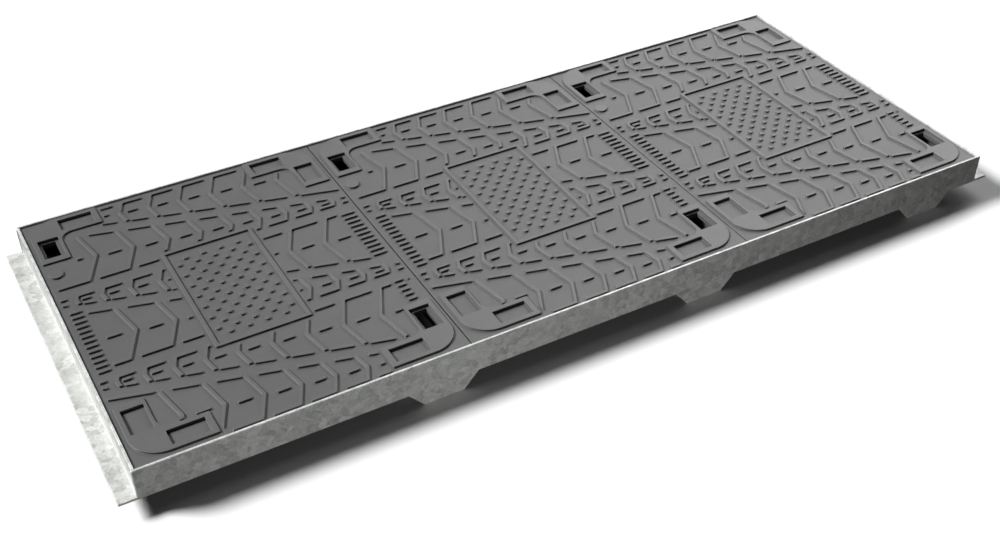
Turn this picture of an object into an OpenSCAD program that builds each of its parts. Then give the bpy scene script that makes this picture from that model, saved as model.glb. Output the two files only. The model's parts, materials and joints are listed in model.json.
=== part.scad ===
// Rectangular access chamber cover: three ribbed cast-iron plates side by side
// in a welded angle-steel frame. Millimetres, +Z up. The origin is under the
// middle of the frame, at the level of the anchor lugs' feet, X along the chamber.

/* [Frame] */
// Length over the frame walls, along the chamber
frame_length = 1468; // [1200:1:1800]
// Width over the frame walls, across the chamber
frame_width = 601; // [500:1:740]
// Height of the frame walls
frame_height = 51; // [46:0.5:72]
// Thickness of the steel angles
steel_t = 4; // [4:0.5:7]
// Width of the seat that runs inward from each long wall
seat_width = 40; // [30:1:55]
// Width of the flange that runs outward from each short wall
flange_width = 26; // [15:1:45]
// Width of the weld bead on each corner seam
bead_width = 6; // [4:0.5:8]
// Height that the weld bead stands proud of the steel
bead_rise = 1.5; // [1:0.1:2]

/* [Anchor lugs] */
// Number of lugs under each long wall
lug_count = 3; // [3:1:3]
// Height of a lug below the frame
lug_drop = 27; // [15:1:50]
// Length of a lug where it meets the wall
lug_length = 112; // [80:1:140]
// Slope of a lug's ends, measured along the wall
lug_slant = 24; // [0:1:30]
// Distance from the end of the long wall to the middle of the nearest lug
lug_inset = 114; // [85:1:150]
// Distance between the middles of two lugs
lug_pitch = 456; // [300:1:480]
// Leg of the fillet weld behind each lug
lug_weld = 4; // [3:0.5:6]

/* [Seat strips] */
// Thickness of the elastomer strip on each seat
strip_t = 3; // [2:0.5:5]
// Width of the strip
strip_width = 28; // [20:1:30]
// Distance from the wall's inner face to the strip
strip_inset = 3; // [1:0.5:6]
// Distance from the end wall to the end of the strip
strip_end = 10; // [4:1:30]

/* [Plates] */
// Number of plates side by side
plate_count = 3; // [3:1:3]
// Gap between a plate and the frame wall
wall_gap = 1; // [1:0.5:4]
// Gap between two plates
plate_gap = 2; // [1:0.5:4]
// Thickness of the plate's skin, below the tread
skin_t = 10; // [8:0.5:14]
// Height of the raised tread
tread_h = 3; // [2:0.5:6]
// Thickness of the skirt along the plate's long sides
skirt_t = 9; // [6:0.5:12]
// Thickness of the skirt at the two ends that bear on the seats
bearing_t = 16; // [10:0.5:26]
// Number of stiffening ribs that run across the chamber under a plate
rib_count = 3; // [2:1:5]
// Thickness of a stiffening rib
rib_t = 8; // [6:0.5:12]
// Depth of a stiffening rib below the skin
rib_depth = 22; // [12:1:26]

/* [Tread] */
// Width of a raised tread bar
bar_w = 5.5; // [4:0.5:8]
// Number of rows of tread blocks in each of the two directions
tread_rows = 3; // [2:1:4]
// Distance from the plate's edge to the middle of the outermost bar
tread_edge = 7.5; // [5:0.5:16]
// Distance from the plate's middle to the tread's middle, towards the front
tread_shift = 3; // [0:0.5:4]
// Least distance from the tread to the plate's ends
tread_rim = 1; // [0.5:0.5:4]
// Width of the straight channel between two rows
straight_channel = 27.8; // [18:0.1:36]
// Width of the slanted channel between two rows
slanted_channel = 24.7; // [16:0.1:34]
// Height of a row's blocks at its short end
block_short = 11; // [9:0.5:16]
// Distance from the plate's side to the first zigzag's elbow
first_elbow = 84; // [60:1:100]
// Distance from the first elbow to the second
first_pitch = 56; // [44:0.5:66]
// How much narrower each block is than the one before it
pitch_drop = 2.7; // [1:0.1:3.2]
// Length of the dash in the first whole block
first_dash = 20; // [12:0.5:24]
// Clearance between a zigzag's middle and the bars that follow it
wide_clear = 17; // [12:0.5:20]
// Clearance between a bar and the next zigzag's middle
near_clear = 5.5; // [4:0.5:8]
// Lean of a zigzag's upper limb, as run over rise
upper_lean = 0.22; // [0:0.01:0.4]
// Lean of a zigzag's lower limb, as run over rise
lower_lean = 0.48; // [0:0.01:0.6]
// Least height of a dash above its block's straight side, in bar widths
dash_room = 1.6; // [1:0.1:3]

/* [Corner pads] */
// Distance from the plate's side to the pad
pad_side = 6.5; // [4:0.5:12]
// Distance from the plate's rear end to the pad
pad_rear = 2; // [1:0.5:12]
// The same distance at the front end
pad_front = 8.5; // [6:0.5:24]
// Length of the pad along the plate's end
pad_length = 111; // [95:1:125]
// Depth of the pad along the plate's end
pad_depth = 44; // [38:1:50]
// Width of the pad's arm along the plate's side
arm_width = 43; // [36:1:50]
// Length of the pad along the plate's side
arm_length = 112; // [102:1:125]
// Radius of the pad's outer corner
pad_outer_r = 44; // [10:1:46]
// Radius in the pad's inner corner
pad_inner_r = 20; // [5:1:30]
// Clearance between the tread and the end of a pad, along the plate's end
pad_clear = 6; // [2:0.5:8]
// Clearance between a front pad and the tread beside it
front_clear = 2.5; // [2:0.5:8]
// Clearance between a rear pad and the tread beside it
rear_clear = 6; // [2:0.5:8]
// Clearance between the tread and the end of a front pad's arm
front_arm_clear = 4; // [2:0.5:16]
// Clearance between the tread and the end of a rear pad's arm
rear_arm_clear = 13; // [2:0.5:16]
// Clearance between the tread and a pad's inner corner, along the plate's side
corner_clear = 10; // [2:0.5:16]
// Depth of the pockets below the tread's top
pocket_depth = 5; // [4:0.5:10]
// Length and width of the end pocket
end_pocket = [53, 28]; // [20:1:56]
// Place of the end pocket's corner, from the pad's corner
end_pocket_at = [49, 8]; // [5:1:52]
// Length and width of the side pocket
side_pocket = [32, 50]; // [26:1:56]
// Place of the side pocket's corner, from the pad's corner
side_pocket_at = [7, 50]; // [4:1:54]
// Width and length of the lifting keyhole in the side pocket's floor
keyhole = [21.5, 43]; // [16:0.5:46]
// Place of the keyhole's corner, from the side pocket's corner
keyhole_at = [5, 3.5]; // [1:0.5:8]

/* [Centre panel and trim] */
// Width of the framed panel
panel_w = 145; // [100:1:180]
// Length of the framed panel
panel_l = 247; // [150:1:300]
// Radius of a stud in the panel
stud_r = 4; // [3:0.5:6]
// Distance between two rows of studs
stud_pitch = 14; // [12:0.5:24]
// Clearance between the panel and the tread around it
panel_clear = 6.5; // [4:0.5:12]
// Distance between two dashes in the strips along the plate's sides
dash_pitch = 12; // [9:0.5:20]
// Left strip: length of a dash, length of the strip, and its middle from the front end and from the side
left_strip = [17, 162, 271, 19]; // [10:0.5:340]
// Right strip: the same four sizes
right_strip = [22, 136, 315, 21.5]; // [10:0.5:340]
// Lower right strip: the same four sizes
lower_strip = [14, 68, 156, 27]; // [10:0.5:340]
// Clearance between a strip and the tread beside it
strip_clear = 7; // [4:0.5:10]
// Radius of the round boss
boss_r = 11; // [6:0.5:11]
// Clearance between the boss and the tread around it
boss_clear = 6; // [2:0.5:8]
// Place of the round boss, from the plate's side and its rear end
boss_at = [18, 145]; // [12:0.5:200]

/* [Hidden] */
$fn = 48;
eps = 1;

steel = "silver";
weld_metal = "gainsboro";
rubber = "black";
iron = "dimgray";

frame_z = lug_drop;
top_z = frame_z + frame_height;
inside_l = frame_length - 2 * steel_t;
inside_w = frame_width - 2 * steel_t;
seat_z = frame_z + steel_t;

plate_z = seat_z + strip_t;
plates_l = inside_l - 2 * wall_gap;
plate_w = (plates_l - (plate_count - 1) * plate_gap) / plate_count;
plate_l = inside_w - 2 * wall_gap;
plate_pitch = plate_w + plate_gap;
base_z = top_z - tread_h;
skin_z = base_z - skin_t;
cross_rib_y = plate_l / 6;

// Rows of blocks: the tall and short ends of a row and of the turned row beside it,
// with the slanted channel between them, fill one row pitch.
row_pitch = (plate_l - 2 * tread_edge + straight_channel) / tread_rows;
block_tall = row_pitch - straight_channel - slanted_channel - block_short;

// ---------------------------------------------------------------- frame

// Places along a long wall of the middles of its lugs
function lug_x(i) = frame_length / 2 - lug_inset - i * lug_pitch;

// Turns what is drawn for the front of the frame to its back
module at_back() {
    rotate([0, 0, 180])
        children();
}

module rail() {
    translate([-frame_length / 2, -frame_width / 2, frame_z])
        cube([frame_length, steel_t, frame_height]);
    translate([-inside_l / 2, -frame_width / 2, frame_z])
        cube([inside_l, steel_t + seat_width, steel_t]);
}

module end_angle() {
    translate([-frame_length / 2, -inside_w / 2, frame_z])
        cube([steel_t, inside_w, frame_height]);
    translate([-frame_length / 2 - flange_width, -frame_width / 2, frame_z])
        cube([flange_width, frame_width, steel_t]);
}

module lug(i) {
    outline = [
        [-lug_length / 2, lug_drop], [lug_length / 2, lug_drop],
        [lug_length / 2 - lug_slant, 0], [-lug_length / 2 + lug_slant, 0]
    ];
    translate([lug_x(i), -frame_width / 2 + steel_t, 0])
        rotate([90, 0, 0])
            linear_extrude(steel_t)
                polygon(outline);
}

module lug_welds() {
    bead_l = lug_length - 2 * lug_slant;
    for (i = [0 : lug_count - 1])
        translate([lug_x(i) - bead_l / 2, -frame_width / 2 + steel_t, frame_z])
            rotate([90, 0, 90])
                linear_extrude(bead_l)
                    polygon([[0, 0], [lug_weld, 0], [0, -lug_weld]]);
}

// Bead on the seam between the front wall's end and the left wall's outer face
module corner_weld() {
    bead_r = (bead_width * bead_width / 4 + bead_rise * bead_rise) / (2 * bead_rise);
    seam_y = -frame_width / 2 + steel_t;
    bead_h = frame_height - steel_t - bead_width / 2;
    translate([-frame_length / 2, seam_y, seat_z])
        intersection() {
            translate([bead_r - bead_rise, 0, 0])
                cylinder(r = bead_r, h = bead_h);
            translate([-bead_rise - eps, -bead_width, 0])
                cube([bead_rise + eps, 2 * bead_width, bead_h]);
        }
}

module seat_strip() {
    strip_l = inside_l - 2 * strip_end;
    translate([-strip_l / 2, -inside_w / 2 + strip_inset, seat_z])
        cube([strip_l, strip_width, strip_t]);
}

module frame_front_rail() { color(steel) rail(); }
module frame_back_rail() { color(steel) at_back() rail(); }
module frame_left_end() { color(steel) end_angle(); }
module frame_right_end() { color(steel) at_back() end_angle(); }

module anchor_lug_front_right() { color(steel) lug(0); }
module anchor_lug_front_centre() { color(steel) lug(1); }
module anchor_lug_front_left() { color(steel) lug(lug_count - 1); }
module anchor_lug_back_left() { color(steel) at_back() lug(0); }
module anchor_lug_back_centre() { color(steel) at_back() lug(1); }
module anchor_lug_back_right() { color(steel) at_back() lug(lug_count - 1); }

module lug_welds_front() { color(weld_metal) lug_welds(); }
module lug_welds_back() { color(weld_metal) at_back() lug_welds(); }

module corner_weld_front_left() { color(weld_metal) corner_weld(); }
module corner_weld_back_left() { color(weld_metal) mirror([0, 1, 0]) corner_weld(); }
module corner_weld_front_right() { color(weld_metal) mirror([1, 0, 0]) corner_weld(); }
module corner_weld_back_right() { color(weld_metal) at_back() corner_weld(); }

module seat_strip_front() { color(rubber) seat_strip(); }
module seat_strip_back() { color(rubber) at_back() seat_strip(); }

// ---------------------------------------------------------------- tread

// A row is drawn from its tall end at x = 0 to its short end at x = plate_w,
// with its straight side along y = 0.
function block_h(x) = block_tall - (block_tall - block_short) * x / plate_w;
function elbow_x(k) = first_elbow + first_pitch * k - pitch_drop * k * (k - 1) / 2;
function top_x(k) = elbow_x(k) - upper_lean * block_h(elbow_x(k)) / 2;
function foot_x(k) = elbow_x(k) - lower_lean * block_h(elbow_x(k)) / 2;

// The last block is the last that lies on the plate and is wide enough for its bars
function fits(k) = elbow_x(k) < plate_w - bar_w && first_pitch - pitch_drop * k > wide_clear + near_clear;
last_block = max([for (k = [0 : 20]) if (fits(k)) k]);

// A bar with upright ends between two points
module bar(p, q) {
    half = [0, bar_w / 2];
    polygon([p - half, q - half, q + half, p + half]);
}

// The two leaning limbs between one block and the next
module zigzag(k) {
    half = [bar_w / 2, 0];
    top = [top_x(k), block_h(elbow_x(k)) + bar_w / 2];
    elbow = [elbow_x(k), block_h(elbow_x(k)) / 2];
    foot = [foot_x(k), -bar_w / 2];
    polygon([top - half, elbow - half, foot - half, foot + half, elbow + half, top + half]);
}

// Each block has a bar along its slanted side, one along its straight side that runs into
// the next zigzag's foot, and a dash half-way.
module block(k) {
    slant_from = k < 0 ? 0 : top_x(k) + wide_clear;
    slant_to = top_x(k + 1) - near_clear;
    foot_from = foot_x(k) + wide_clear;
    foot_to = foot_x(k + 1);
    dash_from = elbow_x(k) + wide_clear;
    dash_to = dash_from + first_dash - k;
    dash_y = block_h(dash_to) / 2;
    if (slant_to > slant_from + bar_w)
        bar([slant_from, block_h(slant_from)], [slant_to, block_h(slant_to)]);
    if (foot_to > foot_from + bar_w)
        bar([foot_from, 0], [foot_to, 0]);
    if (dash_y > dash_room * bar_w && dash_to < elbow_x(k + 1) - near_clear)
        bar([dash_from, dash_y], [dash_to, dash_y]);
}

module tread_row() {
    for (k = [-1 : last_block])
        block(k);
    for (k = [0 : last_block])
        zigzag(k);
}

module tread_family() {
    for (row = [0 : tread_rows - 1])
        translate([-plate_w / 2, -plate_l / 2 + tread_edge + row * row_pitch])
            tread_row();
}

module tread() {
    tread_family();
    rotate(180)
        tread_family();
}

module at_tread_middle() {
    translate([0, -tread_shift])
        children();
}

// ---------------------------------------------------------------- pads and trim

// Draws its children in each corner, from the plate's side and end inward
module at_corner(side, end) {
    inset = end < 0 ? pad_front : pad_rear;
    translate([side * (plate_w / 2 - pad_side), end * (plate_l / 2 - inset)])
        mirror([side > 0 ? 1 : 0, 0])
            mirror([0, end > 0 ? 1 : 0])
                children();
}

module at_corners() {
    for (side = [-1, 1], end = [-1, 1])
        at_corner(side, end)
            children();
}

module at_keyholes() {
    for (side = [-1, 1])
        at_corner(side, -side)
            children();
}

// L-shaped pad with a round outer corner and a filleted inner one
module pad() {
    difference() {
        union() {
            square([pad_length, pad_depth]);
            square([arm_width, arm_length]);
            translate([arm_width, pad_depth])
                square(pad_inner_r);
        }
        translate([arm_width + pad_inner_r, pad_depth + pad_inner_r])
            circle(pad_inner_r);
        difference() {
            translate([-eps, -eps])
                square(pad_outer_r + eps);
            translate([pad_outer_r, pad_outer_r])
                circle(pad_outer_r);
        }
    }
}

// The ground that a pad keeps free of tread, out past the plate's corner
module pad_ground(end_clear, arm_clear) {
    past = pad_side + pad_front;
    translate([-past, -past]) {
        square([past + pad_length + pad_clear, past + pad_depth + end_clear]);
        square([past + arm_width + end_clear, past + arm_length + arm_clear]);
        square([past + arm_width + pad_inner_r, past + pad_depth + pad_inner_r + corner_clear]);
    }
}

module panel_ground(extra) {
    square([panel_w + 2 * extra, panel_l + 2 * extra], center = true);
}

module panel_border() {
    difference() {
        panel_ground(0);
        panel_ground(-bar_w);
    }
}

// Studs in staggered rows fill the panel
module panel_studs() {
    margin = bar_w + 2 * stud_r;
    rows = floor((panel_l - 2 * margin) / stud_pitch);
    columns = floor((panel_w - 2 * margin) / stud_pitch / 2);
    for (i = [-floor(rows / 2) : floor(rows / 2)])
        for (j = [-columns : columns])
            if ((i + j) % 2 == 0)
                translate([j * stud_pitch, i * stud_pitch])
                    circle(stud_r);
}

// Draws its children at the middle of a strip along the plate's left (-1) or right (1) side
module at_strip(side, strip) {
    translate([side * (plate_w / 2 - strip[3]), strip[2] - plate_l / 2])
        children();
}

module dash_strip(strip) {
    count = floor(strip[1] / dash_pitch);
    for (i = [0 : count - 1])
        translate([0, (i - (count - 1) / 2) * dash_pitch])
            square([strip[0], bar_w], center = true);
}

module strip_ground(strip) {
    square([strip[0] + 2 * strip_clear, strip[1] + 2 * strip_clear], center = true);
}

module boss_place() {
    translate([-plate_w / 2 + boss_at[0], plate_l / 2 - boss_at[1]])
        children();
}

module raised_outline() {
    difference() {
        intersection() {
            at_tread_middle()
                tread();
            square([plate_w - 2 * pad_side, plate_l - 2 * tread_rim], center = true);
        }
        for (side = [-1, 1]) {
            at_corner(side, 1)
                pad_ground(rear_clear, rear_arm_clear);
            at_corner(side, -1)
                pad_ground(front_clear, front_arm_clear);
        }
        at_tread_middle()
            panel_ground(panel_clear);
        at_strip(-1, left_strip)
            strip_ground(left_strip);
        at_strip(1, right_strip)
            strip_ground(right_strip);
        at_strip(1, lower_strip)
            strip_ground(lower_strip);
        boss_place()
            circle(boss_r + boss_clear);
    }
    at_corners()
        pad();
    at_tread_middle() {
        panel_border();
        panel_studs();
    }
    at_strip(-1, left_strip)
        dash_strip(left_strip);
    at_strip(1, right_strip)
        dash_strip(right_strip);
    at_strip(1, lower_strip)
        dash_strip(lower_strip);
    boss_place()
        circle(boss_r);
}

// ---------------------------------------------------------------- plates

module casting() {
    hollow_w = plate_w - 2 * skirt_t;
    hollow_l = plate_l - 2 * bearing_t;
    difference() {
        translate([-plate_w / 2, -plate_l / 2, plate_z])
            cube([plate_w, plate_l, base_z - plate_z]);
        translate([-hollow_w / 2, -hollow_l / 2, plate_z - eps])
            cube([hollow_w, hollow_l, skin_z - plate_z + eps]);
    }
    for (i = [1 : rib_count])
        translate([-plate_w / 2 + i * plate_w / (rib_count + 1) - rib_t / 2, -plate_l / 2 + eps, skin_z - rib_depth])
            cube([rib_t, plate_l - 2 * eps, rib_depth + eps]);
    for (i = [-1, 1])
        translate([-plate_w / 2 + eps, i * cross_rib_y - rib_t / 2, skin_z - rib_depth])
            cube([plate_w - 2 * eps, rib_t, rib_depth + eps]);
}

module pockets() {
    at_corners() {
        translate(end_pocket_at)
            square(end_pocket);
        translate(side_pocket_at)
            square(side_pocket);
    }
}

module keyholes() {
    at_keyholes()
        translate(side_pocket_at + keyhole_at)
            square(keyhole);
}

module cover_plate(place) {
    color(iron)
        translate([place * plate_pitch, 0, 0])
            difference() {
                union() {
                    casting();
                    translate([0, 0, base_z - eps])
                        linear_extrude(tread_h + eps)
                            raised_outline();
                }
                translate([0, 0, top_z - pocket_depth])
                    linear_extrude(pocket_depth + eps)
                        pockets();
                translate([0, 0, plate_z - eps])
                    linear_extrude(frame_height + eps)
                        keyholes();
            }
}

module cover_plate_left() { cover_plate(-1); }
module cover_plate_centre() { cover_plate(0); }
module cover_plate_right() { cover_plate(1); }

frame_front_rail();
frame_back_rail();
frame_left_end();
frame_right_end();
anchor_lug_front_left();
anchor_lug_front_centre();
anchor_lug_front_right();
anchor_lug_back_left();
anchor_lug_back_centre();
anchor_lug_back_right();
lug_welds_front();
lug_welds_back();
corner_weld_front_left();
corner_weld_front_right();
corner_weld_back_left();
corner_weld_back_right();
seat_strip_front();
seat_strip_back();
cover_plate_left();
cover_plate_centre();
cover_plate_right();
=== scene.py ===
"""Looks of a three-plate access chamber cover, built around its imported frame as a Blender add-on."""

import json
import math

import bmesh
import bpy
from bpy.props import FloatProperty, FloatVectorProperty, IntProperty, PointerProperty
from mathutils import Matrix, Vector


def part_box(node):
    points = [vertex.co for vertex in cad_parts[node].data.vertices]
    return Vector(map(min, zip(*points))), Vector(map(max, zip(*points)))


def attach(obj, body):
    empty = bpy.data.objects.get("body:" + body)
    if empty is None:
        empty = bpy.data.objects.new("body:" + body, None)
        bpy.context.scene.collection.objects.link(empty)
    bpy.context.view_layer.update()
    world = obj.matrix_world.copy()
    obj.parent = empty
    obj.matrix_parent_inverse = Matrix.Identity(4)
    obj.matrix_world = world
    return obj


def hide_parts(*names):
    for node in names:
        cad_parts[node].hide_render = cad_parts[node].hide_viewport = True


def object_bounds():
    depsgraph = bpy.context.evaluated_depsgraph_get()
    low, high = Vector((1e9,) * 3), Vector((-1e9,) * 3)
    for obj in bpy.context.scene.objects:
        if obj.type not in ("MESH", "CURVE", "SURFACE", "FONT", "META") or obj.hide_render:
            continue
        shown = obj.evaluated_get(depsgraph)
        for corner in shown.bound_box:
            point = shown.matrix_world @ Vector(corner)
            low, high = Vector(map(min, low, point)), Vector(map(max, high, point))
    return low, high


bl_info = {
    "name": "Chamber cover",
    "version": (1, 0, 0),
    "blender": (4, 5, 0),
    "location": "3D View > Sidebar > Chamber cover",
    "description": "Cast plates, galvanised frame, welds and studio stage of an access chamber cover",
    "category": "Object",
}

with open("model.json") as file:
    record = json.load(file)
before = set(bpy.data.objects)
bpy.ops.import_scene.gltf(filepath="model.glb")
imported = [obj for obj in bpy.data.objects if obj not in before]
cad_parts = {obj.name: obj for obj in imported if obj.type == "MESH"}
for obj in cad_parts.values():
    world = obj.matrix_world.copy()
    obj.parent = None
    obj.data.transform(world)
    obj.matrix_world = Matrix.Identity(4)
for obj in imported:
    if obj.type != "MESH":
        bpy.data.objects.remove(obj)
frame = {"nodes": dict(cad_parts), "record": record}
CAD_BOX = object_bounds()

PLATE_NODES = [n for n in sorted(frame["nodes"]) if n.startswith("cover_plate_")]
ANGLE_NODES = [n for n in sorted(frame["nodes"]) if n.startswith("frame_")]
LUG_NODES = [n for n in sorted(frame["nodes"]) if n.startswith("anchor_lug_")]
SEAM_NODES = [n for n in sorted(frame["nodes"]) if n.startswith("corner_weld_")]
FILLET_NODES = [n for n in sorted(frame["nodes"]) if n.startswith("lug_welds_")]
STRIP_NODES = [n for n in sorted(frame["nodes"]) if n.startswith("seat_strip_")]
BODY_OF = {n: body for body, nodes in frame["record"]["behaviour"]["bodies"].items() for n in nodes}

MM = 0.001
MERGE_GAP = 0.005 * MM
FLAT_ANGLE = math.radians(0.5)
EDGE_ANGLE = math.radians(30)
SMOOTH_ANGLE = math.radians(40)
RIPPLE_ANGLE = math.radians(50)
GROOVE_EDGE = 0.15 * MM


# ---------------------------------------------------------------- sizes and colours


def length(name, description, default):
    return FloatProperty(
        name=name, description=description, default=default, min=0.0, unit="LENGTH", precision=5
    )


def share(name, description, default):
    return FloatProperty(
        name=name, description=description, default=default, min=0.0, max=1.0, subtype="FACTOR"
    )


def tint(name, description, default):
    return FloatVectorProperty(
        name=name, description=description, default=default, min=0.0, max=1.0, size=3, subtype="COLOR"
    )


class CoverIron(bpy.types.PropertyGroup):
    """The cast plates"""

    edge: length("Cast edge", "Rounding of the casting's edges", 0.6 * MM)
    tread_h: length("Tread height", "Height of the tread above the plate", 3 * MM)
    low: tint("Ground", "Colour of the ground between the treads", (0.101, 0.101, 0.103))
    high: tint("Tread", "Colour of the tread's worn tops", (0.110, 0.110, 0.112))
    under: tint("Underside", "Colour of the plate's underside", (0.085, 0.084, 0.083))
    roughness: share("Roughness", "Roughness of the coating", 0.46)
    grain: length("Grain", "Size of the sand-cast grain", 1.6 * MM)
    grain_depth: length("Grain depth", "Depth of the sand-cast grain", 0.12 * MM)


class CoverZinc(bpy.types.PropertyGroup):
    """The galvanised steel"""

    edge: length("Steel edge", "Rounding of the angles' edges", 0.9 * MM)
    dark: tint("Dark spangle", "Colour of the darkest zinc crystals", (0.42, 0.435, 0.41))
    light: tint("Light spangle", "Colour of the lightest zinc crystals", (0.80, 0.81, 0.79))
    patina: tint("Patina", "Colour of the dull patches", (0.60, 0.615, 0.59))
    spangle: length("Spangle", "Size of a zinc crystal", 11 * MM)
    metal: share("Metal", "How metallic the zinc looks", 0.25)
    roughness: share("Roughness", "Roughness of the zinc", 0.42)


class CoverWeld(bpy.types.PropertyGroup):
    """The weld beads"""

    pitch: length("Ripple pitch", "Distance between two ripples of a bead", 2.4 * MM)
    overlap: share("Ripple overlap", "How far a ripple reaches under the next, in pitches", 0.45)
    sides: IntProperty(name="Sides", description="Sides of a ripple", default=24, min=12, max=48)
    colour: tint("Bead", "Colour of the zinc-coated bead", (0.78, 0.79, 0.78))


class CoverStrip(bpy.types.PropertyGroup):
    """The elastomer strips"""

    grooves: IntProperty(name="Grooves", description="Grooves along a strip", default=3, min=1, max=6)
    groove_w: length("Groove width", "Width of a groove", 2.4 * MM)
    groove_d: length("Groove depth", "Depth of a groove", 1.2 * MM)
    colour: tint("Elastomer", "Colour of the elastomer", (0.018, 0.018, 0.019))
    dust: tint("Dust", "Colour of the dust on the elastomer", (0.09, 0.088, 0.082))


class CoverStage(bpy.types.PropertyGroup):
    """The studio"""

    floor: tint("Floor", "Colour of the floor", (0.95, 0.95, 0.95))
    floor_size: FloatProperty(
        name="Floor size", description="Side of the floor", default=80, min=4, unit="LENGTH"
    )
    key: FloatProperty(name="Key light", description="Strength of the key light", default=5.2, min=0)
    key_height: FloatProperty(
        name="Key height", description="Angle of the key light above the floor",
        default=math.radians(40), subtype="ANGLE",
    )
    key_bearing: FloatProperty(
        name="Key bearing", description="Direction the key light comes from, from +X towards +Y",
        default=math.radians(152), subtype="ANGLE",
    )
    key_spread: FloatProperty(
        name="Key spread", description="Width of the key light as seen from the cover",
        default=math.radians(18), subtype="ANGLE",
    )
    rim: FloatProperty(name="Rim light", description="Strength of the light from behind", default=1.4, min=0)
    rim_height: FloatProperty(
        name="Rim height", description="Angle of the rim light above the floor",
        default=math.radians(30), subtype="ANGLE",
    )
    rim_bearing: FloatProperty(
        name="Rim bearing", description="Direction the rim light comes from, from +X towards +Y",
        default=math.radians(42), subtype="ANGLE",
    )
    rim_spread: FloatProperty(
        name="Rim spread", description="Width of the rim light as seen from the cover",
        default=math.radians(45), subtype="ANGLE",
    )
    fill: FloatProperty(name="Fill light", description="Power of the low lamp in front", default=5.5, min=0)
    fill_size: FloatProperty(
        name="Fill size", description="Side of the low lamp in front", default=0.12, min=0.02, unit="LENGTH"
    )
    fill_at: FloatVectorProperty(
        name="Fill place", description="Low lamp, from the frame's nearest bottom corner",
        default=(0.41, -1.2, 0.07), size=3, unit="LENGTH", subtype="TRANSLATION",
    )
    dome: FloatProperty(name="Dome", description="Strength of the light all round", default=0.008, min=0)
    lens: FloatProperty(name="Lens", description="Focal length in millimetres", default=47.34, min=10)
    eye: FloatVectorProperty(
        name="Eye", description="Camera, from the nearest top corner of the plates",
        default=(-0.1706, -1.231, 1.215), size=3, unit="LENGTH", subtype="TRANSLATION",
    )
    heading: FloatProperty(
        name="Heading", description="Turn of the camera from +Y towards +X",
        default=math.radians(29.65), subtype="ANGLE",
    )
    pitch: FloatProperty(
        name="Pitch", description="How far the camera looks down",
        default=math.radians(37.8), subtype="ANGLE",
    )


class CoverSettings(bpy.types.PropertyGroup):
    """All the cover's settings"""

    iron: PointerProperty(type=CoverIron)
    zinc: PointerProperty(type=CoverZinc)
    weld: PointerProperty(type=CoverWeld)
    strip: PointerProperty(type=CoverStrip)
    stage: PointerProperty(type=CoverStage)


# ---------------------------------------------------------------- shader maths


class Value:
    """A number that varies over a surface, used in Python expressions"""

    def __init__(self, board, socket):
        self.board = board
        self.socket = socket

    def maths(self, operation, other):
        """A value from this one and another value or number"""
        return self.board.add("ShaderNodeMath", {"operation": operation}, {0: self, 1: other}).value(0)

    def __add__(self, other):
        return self.maths("ADD", other)

    __radd__ = __add__

    def __mul__(self, other):
        return self.maths("MULTIPLY", other)

    __rmul__ = __mul__

    def __sub__(self, other):
        return self.maths("SUBTRACT", other)

    def __rsub__(self, other):
        return (self * -1) + other

    def step(self, low, high):
        """0 below low, 1 above high, smooth between"""
        made = self.board.add(
            "ShaderNodeMapRange",
            {"interpolation_type": "SMOOTHSTEP"},
            {"Value": self, "From Min": low, "From Max": high},
        )
        return made.value("Result")


class Made:
    """A node just made, whose outputs become values or plain sockets"""

    def __init__(self, board, node):
        self.board = board
        self.node = node

    def value(self, name):
        return Value(self.board, self.node.outputs[name])

    def socket(self, name):
        return self.node.outputs[name]


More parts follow.
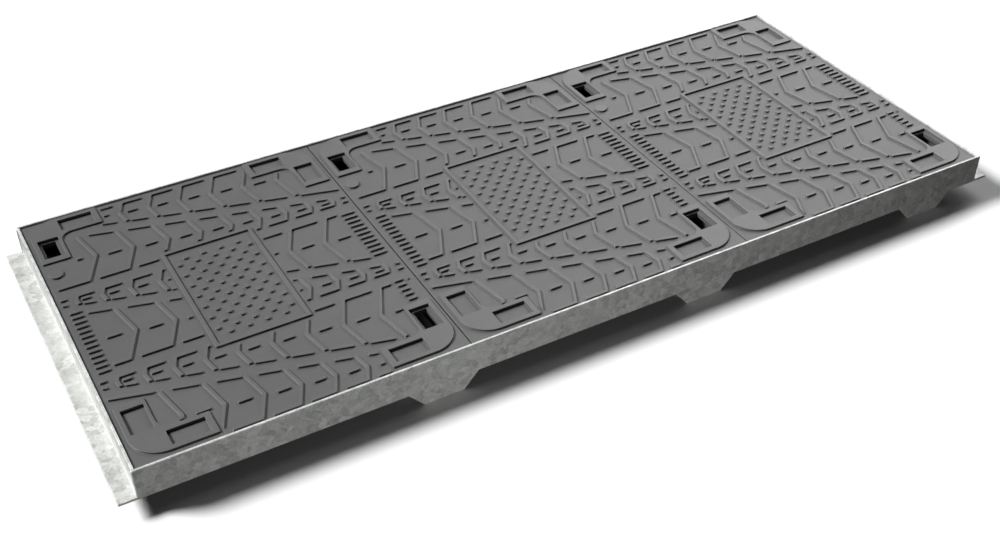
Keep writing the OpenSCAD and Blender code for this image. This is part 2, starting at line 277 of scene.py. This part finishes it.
class Board:
    """A material's node tree"""

    def __init__(self, name):
        self.material = bpy.data.materials.new(name)
        self.material.use_nodes = True
        self.tree = self.material.node_tree
        self.tree.nodes.clear()
        self.place = self.add("ShaderNodeTexCoord").socket("Object")

    def add(self, kind, settings=None, sockets=None):
        """Adds a node of a kind: its settings first, then the values or links of its sockets"""
        node = self.tree.nodes.new(kind)
        for key, value in (settings or {}).items():
            setattr(node, key, value)
        for key, value in (sockets or {}).items():
            self.feed(node.inputs[key], value)
        return Made(self, node)

    def feed(self, socket, value):
        if isinstance(value, Value):
            value = value.socket
        if isinstance(value, bpy.types.NodeSocket):
            self.tree.links.new(value, socket)
        elif socket.type == "RGBA":
            socket.default_value = (*value[:3], 1.0)
        else:
            socket.default_value = value

    def height(self):
        """Height over the cover's feet, in metres"""
        return self.add("ShaderNodeSeparateXYZ", sockets={"Vector": self.place}).value("Z")

    def upness(self):
        """1 on a face that looks up, -1 on one that looks down"""
        normal = self.add("ShaderNodeNewGeometry").socket("Normal")
        return self.add("ShaderNodeSeparateXYZ", sockets={"Vector": normal}).value("Z")

    def noise(self, size, detail=3.0, rough=0.5):
        """Cloudy noise from 0 to 1 whose patches are about size across"""
        made = self.add(
            "ShaderNodeTexNoise",
            sockets={"Vector": self.place, "Scale": 1 / size, "Detail": detail, "Roughness": rough},
        )
        return made.value("Fac")

    def cells(self, size, place=None):
        """Cells about size across"""
        return self.add("ShaderNodeTexVoronoi", sockets={"Vector": place or self.place, "Scale": 1 / size})

    def cell_tone(self, size, place, channel="Red"):
        """A level for each cell, from 0 to 1"""
        colour = self.cells(size, place).socket("Color")
        return self.add("ShaderNodeSeparateColor", sockets={"Color": colour}).value(channel)

    def mix(self, share_of_second, first, second, blend="MIX"):
        """A colour between two colours"""
        made = self.add(
            "ShaderNodeMix",
            {"data_type": "RGBA", "blend_type": blend, "clamp_result": False},
            {0: share_of_second, 6: first, 7: second},
        )
        return made.socket(2)

    def shaded(self, colour, shade):
        """A colour made darker or lighter by a level"""
        level = {"Red": shade, "Green": shade, "Blue": shade}
        grey = self.add("ShaderNodeCombineColor", sockets=level).socket("Color")
        return self.mix(1.0, colour, grey, "MULTIPLY")

    def bump(self, height, depth):
        """A relief of a depth in metres"""
        return self.add("ShaderNodeBump", sockets={"Height": height, "Distance": depth}).socket("Normal")

    def finish(self, **sockets):
        """Ends the tree in a Principled shader with these sockets"""
        named = {name.replace("_", " "): value for name, value in sockets.items()}
        shader = self.add("ShaderNodeBsdfPrincipled", sockets=named)
        self.add("ShaderNodeOutputMaterial", sockets={"Surface": shader.socket("BSDF")})
        return self.material


def iron_material(look, base_z, top_z):
    """Coated cast iron: sandy ground, smoother worn tops, dull underside"""
    b = Board("coated_cast_iron")
    up = b.upness().step(-0.2, 0.3)
    worn = b.height().step(base_z + 0.5 * (top_z - base_z), top_z) * up
    clouds = b.noise(0.16, 4.0, 0.6)
    patches = b.noise(0.028, 3.0, 0.55)
    specks = b.noise(look.grain * 1.3, 2.0, 0.6)
    shade = (clouds - 0.5) * 0.22 + (patches - 0.5) * 0.16 + (specks - 0.5) * 0.22 + 1.0
    ground = b.mix(up, look.under, look.low)
    colour = b.mix(worn, ground, look.high)
    grain = b.noise(look.grain, 3.0, 0.62)
    pits = b.cells(look.grain * 4.2).value("Distance").step(0.0, 0.22)
    relief = grain * (1.0 - worn * 0.6) + pits * 0.35
    return b.finish(
        Base_Color=b.shaded(colour, shade),
        Roughness=(clouds - 0.5) * 0.16 + (grain - 0.5) * 0.2 - worn * 0.05 + look.roughness,
        Normal=b.bump(relief, look.grain_depth),
        Metallic=0.0,
    )


def zinc_material(look):
    """Hot-dip galvanised steel: crystals of zinc under dull clouds"""
    b = Board("galvanised_steel")
    wobble = b.add(
        "ShaderNodeTexNoise", sockets={"Vector": b.place, "Scale": 1 / (look.spangle * 0.8), "Detail": 2.0}
    ).socket("Color")
    moved = b.add(
        "ShaderNodeVectorMath",
        {"operation": "MULTIPLY_ADD"},
        {0: wobble, 1: (look.spangle * 0.5,) * 3, 2: b.place},
    ).socket("Vector")
    crystal_tone = b.cell_tone(look.spangle, moved) * 0.6 + b.cell_tone(look.spangle * 0.35, moved) * 0.4
    crystal_gloss = b.cell_tone(look.spangle, moved, "Green")
    clouds = b.noise(0.07, 4.0, 0.6)
    dull = clouds.step(0.42, 0.62)
    specks = b.noise(0.0022, 3.0, 0.6)
    spangled = b.mix(crystal_tone, look.dark, look.light)
    colour = b.mix(dull * 0.4, spangled, look.patina)
    shade = (specks - 0.5) * 0.4 + (b.noise(0.3, 3.0) - 0.5) * 0.2 + 1.0
    lumps = b.noise(0.012, 3.0, 0.5)
    return b.finish(
        Base_Color=b.shaded(colour, shade),
        Roughness=crystal_gloss * 0.16 + dull * 0.12 + look.roughness - 0.1,
        Metallic=look.metal,
        Normal=b.bump(lumps * 0.8 + crystal_tone * 0.1 + specks * 0.12, 0.35 * MM),
    )


def bead_material(look, zinc):
    """A weld bead under zinc, cloudy and speckled"""
    b = Board("zinc_coated_weld")
    clouds = b.noise(0.012, 3.0, 0.6)
    specks = b.noise(0.0012, 3.0, 0.6)
    shade = clouds * 0.7 + specks * 0.3
    return b.finish(
        Base_Color=b.mix(shade.step(0.3, 0.7), zinc.dark, look.colour),
        Roughness=specks * 0.25 + 0.3,
        Metallic=zinc.metal,
        Normal=b.bump(specks + clouds, 0.2 * MM),
    )


def elastomer_material(look):
    """Moulded black elastomer with a dusty bloom"""
    b = Board("black_elastomer")
    dust = b.noise(0.03, 4.0, 0.65).step(0.45, 0.75)
    grain = b.noise(0.0008, 3.0, 0.6)
    return b.finish(
        Base_Color=b.mix(dust * 0.35, look.colour, look.dust),
        Roughness=dust * 0.2 + (grain - 0.5) * 0.2 + 0.62,
        Normal=b.bump(grain, 0.06 * MM),
    )


def floor_material(look):
    """Plain pale floor with the faintest unevenness"""
    b = Board("studio_floor")
    clouds = b.noise(1.5, 2.0)
    return b.finish(
        Base_Color=b.mix(clouds, tuple(c * 0.985 for c in look.floor), look.floor),
        Roughness=clouds * 0.05 + 0.8,
    )


# ---------------------------------------------------------------- modelling by operator


def deselect():
    if bpy.context.object and bpy.context.object.mode != "OBJECT":
        bpy.ops.object.mode_set(mode="OBJECT")
    bpy.ops.object.select_all(action="DESELECT")


def make_active(piece):
    deselect()
    piece.select_set(True)
    bpy.context.view_layer.objects.active = piece


def copied_node(node, name):
    """A piece of its own from a CAD node's mesh, merged into whole faces"""
    piece = bpy.data.objects.new(name, frame["nodes"][node].data.copy())
    piece.data.name = name
    piece.data.materials.clear()
    bpy.context.scene.collection.objects.link(piece)
    make_active(piece)
    bpy.ops.object.mode_set(mode="EDIT")
    bpy.ops.mesh.select_all(action="SELECT")
    bpy.ops.mesh.remove_doubles(threshold=MERGE_GAP)
    bpy.ops.mesh.dissolve_limited(angle_limit=FLAT_ANGLE, delimit={"NORMAL"})
    bpy.ops.object.mode_set(mode="OBJECT")
    return piece


def apply_modifier(piece, kind, **settings):
    make_active(piece)
    modifier = piece.modifiers.new(kind.lower(), kind)
    for key, value in settings.items():
        setattr(modifier, key, value)
    bpy.ops.object.modifier_apply(modifier=modifier.name)


def round_edges(piece, width, segments=2):
    """Rounds the sharp edges, and lets the flat faces keep their shading"""
    apply_modifier(
        piece, "BEVEL", width=width, segments=segments, limit_method="ANGLE", angle_limit=EDGE_ANGLE,
        use_clamp_overlap=False, loop_slide=False, miter_outer="MITER_SHARP",
    )
    bpy.ops.object.shade_smooth_by_angle(angle=SMOOTH_ANGLE)
    apply_modifier(piece, "WEIGHTED_NORMAL", mode="FACE_AREA", weight=80, keep_sharp=True)


def settle(piece, nodes, material):
    """Gives a finished piece its material and body, and hides the nodes it stands for"""
    deselect()
    piece.data.materials.clear()
    piece.data.materials.append(material)
    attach(piece, BODY_OF[nodes[0]])
    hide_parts(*nodes)


def needs(nodes):
    if not nodes:
        raise RuntimeError("the packed frame has none of the nodes this operator works on")


class COVER_OT_plates(bpy.types.Operator):
    """Make the cast plates, with their edges rounded as castings' are"""

    bl_idname = "cover.plates"
    bl_label = "Cast plates"

    def execute(self, context):
        needs(PLATE_NODES)
        look = context.scene.cover.iron
        top_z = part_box(PLATE_NODES[0])[1].z
        iron = iron_material(look, top_z - look.tread_h, top_z)
        for node in PLATE_NODES:
            piece = copied_node(node, node.replace("cover_plate", "cast_plate"))
            round_edges(piece, look.edge)
            settle(piece, [node], iron)
        return {"FINISHED"}


class COVER_OT_angles(bpy.types.Operator):
    """Make the frame's rails and ends and its anchor lugs, as rolled and galvanised steel"""

    bl_idname = "cover.angles"
    bl_label = "Galvanised frame"

    def execute(self, context):
        needs(ANGLE_NODES + LUG_NODES)
        look = context.scene.cover.zinc
        zinc = zinc_material(look)
        for node in ANGLE_NODES + LUG_NODES:
            piece = copied_node(node, "galvanised_" + node.removeprefix("frame_"))
            round_edges(piece, look.edge, 3)
            settle(piece, [node], zinc)
        return {"FINISHED"}


def cut(place, normal):
    """Cuts away what lies behind a plane, and closes the cut"""
    bpy.ops.mesh.select_all(action="SELECT")
    bpy.ops.mesh.bisect(plane_co=place, plane_no=normal, clear_inner=True, use_fill=True)


def bead(name, start, end, radii, walls, look):
    """A rippled bead from start to end, cut flat by the walls that it lies on

    radii are a ripple's half sizes across the bead, and each wall is the normal of a plane
    through the bead's line.
    """
    run = end - start
    along = max(range(3), key=lambda i: abs(run[i]))
    count = max(2, round(abs(run[along]) / look.pitch) - 1)
    step = run[along] / (count + 1)
    size = list(radii)
    size.insert(along, abs(step) * (1 + look.overlap))
    deselect()
    bpy.ops.mesh.primitive_uv_sphere_add(segments=look.sides, ring_count=look.sides // 2, radius=1)
    piece = bpy.context.object
    piece.name = piece.data.name = name
    bpy.ops.object.mode_set(mode="EDIT")
    bpy.ops.mesh.select_all(action="SELECT")
    bpy.ops.transform.resize(value=size)
    middle = start.copy()
    middle[along] += step
    bpy.ops.transform.translate(value=middle)
    for wall in walls:
        cut(start, wall)
    bpy.ops.object.mode_set(mode="OBJECT")
    offset = [0.0, 0.0, 0.0]
    offset[along] = step
    apply_modifier(
        piece, "ARRAY", count=count, use_relative_offset=False, use_constant_offset=True,
        constant_offset_displace=offset,
    )
    make_active(piece)
    bpy.ops.object.shade_smooth_by_angle(angle=RIPPLE_ANGLE)
    return piece


def joined(name, pieces):
    deselect()
    for piece in pieces:
        piece.select_set(True)
    bpy.context.view_layer.objects.active = pieces[0]
    bpy.ops.object.join()
    pieces[0].name = pieces[0].data.name = name
    return pieces[0]


class COVER_OT_welds(bpy.types.Operator):
    """Make the rippled weld beads on the frame's corners and behind its lugs"""

    bl_idname = "cover.welds"
    bl_label = "Weld beads"

    def execute(self, context):
        needs(SEAM_NODES + FILLET_NODES)
        settings = context.scene.cover
        look = settings.weld
        material = bead_material(look, settings.zinc)
        for node in SEAM_NODES:
            low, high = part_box(node)
            left = (low.x + high.x) < 0
            face = high.x if left else low.x
            middle = (low.y + high.y) / 2
            piece = bead(
                node.replace("weld", "bead"), Vector((face, middle, low.z)), Vector((face, middle, high.z)),
                (high.x - low.x, (high.y - low.y) / 2), [Vector((-1 if left else 1, 0, 0))], look,
            )
            settle(piece, [node], material)
        for node in FILLET_NODES:
            side = node.removeprefix("lug_welds_")
            low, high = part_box(node)
            lugs = [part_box(n) for n in LUG_NODES if n.startswith("anchor_lug_" + side)]
            middles = sorted((a.x + b.x) / 2 for a, b in lugs)
            half = (high.x - low.x - (middles[-1] - middles[0])) / 2
            inward = 1 if side == "front" else -1
            corner_y = low.y if side == "front" else high.y
            leg = high.z - low.z
            pieces = [
                bead(
                    node, Vector((x - half, corner_y, high.z)), Vector((x + half, corner_y, high.z)),
                    (leg * 0.8, leg * 0.8), [Vector((0, inward, 0)), Vector((0, 0, -1))], look,
                )
                for x in middles
            ]
            settle(joined(node.replace("welds", "beads"), pieces), [node], material)
        return {"FINISHED"}


class COVER_OT_strips(bpy.types.Operator):
    """Make the grooved elastomer strips that the plates rest on"""

    bl_idname = "cover.strips"
    bl_label = "Seat strips"

    def execute(self, context):
        needs(STRIP_NODES)
        look = context.scene.cover.strip
        material = elastomer_material(look)
        for node in STRIP_NODES:
            low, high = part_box(node)
            size = high - low
            deselect()
            bpy.ops.mesh.primitive_cube_add(size=1)
            piece = context.object
            piece.name = piece.data.name = node.replace("seat", "grooved")
            bpy.ops.object.mode_set(mode="EDIT")
            bpy.ops.mesh.select_all(action="SELECT")
            bpy.ops.transform.resize(value=size)
            bpy.ops.transform.translate(value=(low + high) / 2)
            pitch = size.y / (look.grooves + 1)
            middles = [low.y + pitch * (i + 1) for i in range(look.grooves)]
            bands = [(m - look.groove_w / 2, m + look.groove_w / 2) for m in middles]
            ends = (low.x + look.groove_w, high.x - look.groove_w)
            for x in ends:
                bpy.ops.mesh.select_all(action="SELECT")
                bpy.ops.mesh.bisect(plane_co=(x, 0, 0), plane_no=(1, 0, 0))
            for y in (edge for band in bands for edge in band):
                bpy.ops.mesh.select_all(action="SELECT")
                bpy.ops.mesh.bisect(plane_co=(0, y, 0), plane_no=(0, 1, 0))
            bpy.ops.mesh.select_all(action="DESELECT")
            mesh = bmesh.from_edit_mesh(piece.data)
            for face in mesh.faces:
                centre = face.calc_center_median()
                in_band = any(a < centre.y < b for a, b in bands)
                face.select = face.normal.z > 0.9 and in_band and ends[0] < centre.x < ends[1]
            bmesh.update_edit_mesh(piece.data)
            bpy.ops.mesh.extrude_region_move(TRANSFORM_OT_translate={"value": (0, 0, -look.groove_d)})
            bpy.ops.object.mode_set(mode="OBJECT")
            round_edges(piece, GROOVE_EDGE)
            settle(piece, [node], material)
        return {"FINISHED"}


def sun(name, strength, bearing, height, spread):
    """Lights the cover evenly from a bearing and a height above the floor"""
    data = bpy.data.lights.new(name, "SUN")
    data.energy = strength
    data.angle = spread
    lamp = bpy.data.objects.new(name, data)
    bpy.context.scene.collection.objects.link(lamp)
    flat = math.cos(height)
    source = Vector((math.cos(bearing) * flat, math.sin(bearing) * flat, math.sin(height)))
    lamp.rotation_mode = "QUATERNION"
    lamp.rotation_quaternion = source.to_track_quat("Z", "Y")


class COVER_OT_stage(bpy.types.Operator):
    """Set the floor, the lights and the camera"""

    bl_idname = "cover.stage"
    bl_label = "Studio"

    def execute(self, context):
        look = context.scene.cover.stage
        deselect()
        bpy.ops.mesh.primitive_plane_add(size=look.floor_size, location=(0, 0, CAD_BOX[0].z))
        floor = context.object
        floor.name = "studio_floor"
        bpy.ops.object.transform_apply(location=True, rotation=True, scale=True)
        floor.data.materials.append(floor_material(look))
        floor.visible_diffuse = False
        floor.visible_glossy = False

        sun("key_light", look.key, look.key_bearing, look.key_height, look.key_spread)
        sun("rim_light", look.rim, look.rim_bearing, look.rim_height, look.rim_spread)

        data = bpy.data.lights.new("fill_light", "AREA")
        data.energy = look.fill
        data.size = look.fill_size
        lamp = bpy.data.objects.new("fill_light", data)
        context.scene.collection.objects.link(lamp)
        lamp.location = CAD_BOX[0] + Vector(look.fill_at)
        lamp.rotation_mode = "QUATERNION"
        lamp.rotation_quaternion = (lamp.location - (CAD_BOX[0] + CAD_BOX[1]) / 2).to_track_quat("Z", "Y")

        world = bpy.data.worlds.new("studio_dome")
        world.use_nodes = True
        dome = world.node_tree.nodes["Background"]
        dome.inputs["Color"].default_value = (1.0, 1.0, 1.0, 1.0)
        # The camera sees a white surround, which doesn't light the cover
        seen = world.node_tree.nodes.new("ShaderNodeLightPath").outputs["Is Camera Ray"]
        strength = world.node_tree.nodes.new("ShaderNodeMath")
        strength.operation = "MAXIMUM"
        strength.inputs[1].default_value = look.dome
        world.node_tree.links.new(seen, strength.inputs[0])
        world.node_tree.links.new(strength.outputs[0], dome.inputs["Strength"])
        context.scene.world = world
        context.scene.view_settings.view_transform = "Standard"

        lens = bpy.data.cameras.new("camera")
        lens.lens = look.lens
        lens.clip_end = 100
        camera = bpy.data.objects.new("camera", lens)
        context.scene.collection.objects.link(camera)
        low, high = min((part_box(node) for node in PLATE_NODES), key=lambda box: box[0].x)
        corner = Vector((low.x, low.y, high.z))
        camera.location = corner + Vector(look.eye)
        forward = Vector((
            math.sin(look.heading) * math.cos(look.pitch), math.cos(look.heading) * math.cos(look.pitch),
            -math.sin(look.pitch),
        ))
        camera.rotation_mode = "QUATERNION"
        camera.rotation_quaternion = forward.to_track_quat("-Z", "Y")
        context.scene.camera = camera
        return {"FINISHED"}


class COVER_PT_panel(bpy.types.Panel):
    """Lists the cover's operators"""

    bl_idname = "COVER_PT_panel"
    bl_label = "Chamber cover"
    bl_space_type = "VIEW_3D"
    bl_region_type = "UI"
    bl_category = "Chamber cover"

    def draw(self, context):
        for operator in OPERATORS:
            self.layout.operator(operator.bl_idname)


OPERATORS = [COVER_OT_stage, COVER_OT_plates, COVER_OT_angles, COVER_OT_welds, COVER_OT_strips]
GROUPS = [CoverIron, CoverZinc, CoverWeld, CoverStrip, CoverStage, CoverSettings]


def register():
    for item in GROUPS + OPERATORS + [COVER_PT_panel]:
        bpy.utils.register_class(item)
    bpy.types.Scene.cover = PointerProperty(type=CoverSettings)


def unregister():
    del bpy.types.Scene.cover
    for item in reversed(GROUPS + OPERATORS + [COVER_PT_panel]):
        bpy.utils.unregister_class(item)


def main():
    register()
    bpy.ops.cover.stage()
    bpy.ops.cover.plates()
    bpy.ops.cover.angles()
    bpy.ops.cover.welds()
    bpy.ops.cover.strips()


if __name__ == "__main__":
    main()
